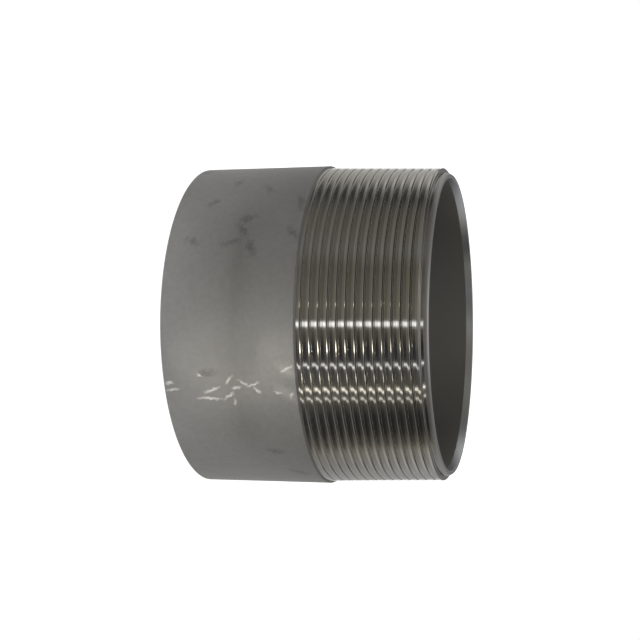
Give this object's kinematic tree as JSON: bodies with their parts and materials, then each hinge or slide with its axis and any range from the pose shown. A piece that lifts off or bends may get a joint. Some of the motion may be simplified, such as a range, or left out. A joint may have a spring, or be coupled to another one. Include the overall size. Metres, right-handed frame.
{
  "type": "pipe weld nipple",
  "caption": "Short stainless steel pipe piece, open right through, with a plain end for welding and an outside taper pipe thread on the other end.",
  "frame": {"origin": "middle of the plain end's face, where it stands", "axes": "+Z along the pipe axis, from the plain end up to the threaded end; X and Y across the pipe"},
  "size_m": [0.0888, 0.0888, 0.0691],
  "materials": {
    "stainless_steel": "dull pickled skin on the plain part, bright turned metal on the thread"
  },
  "bodies": {
    "root": {"nipple_body": "stainless_steel"}
  },
  "joints": []
}
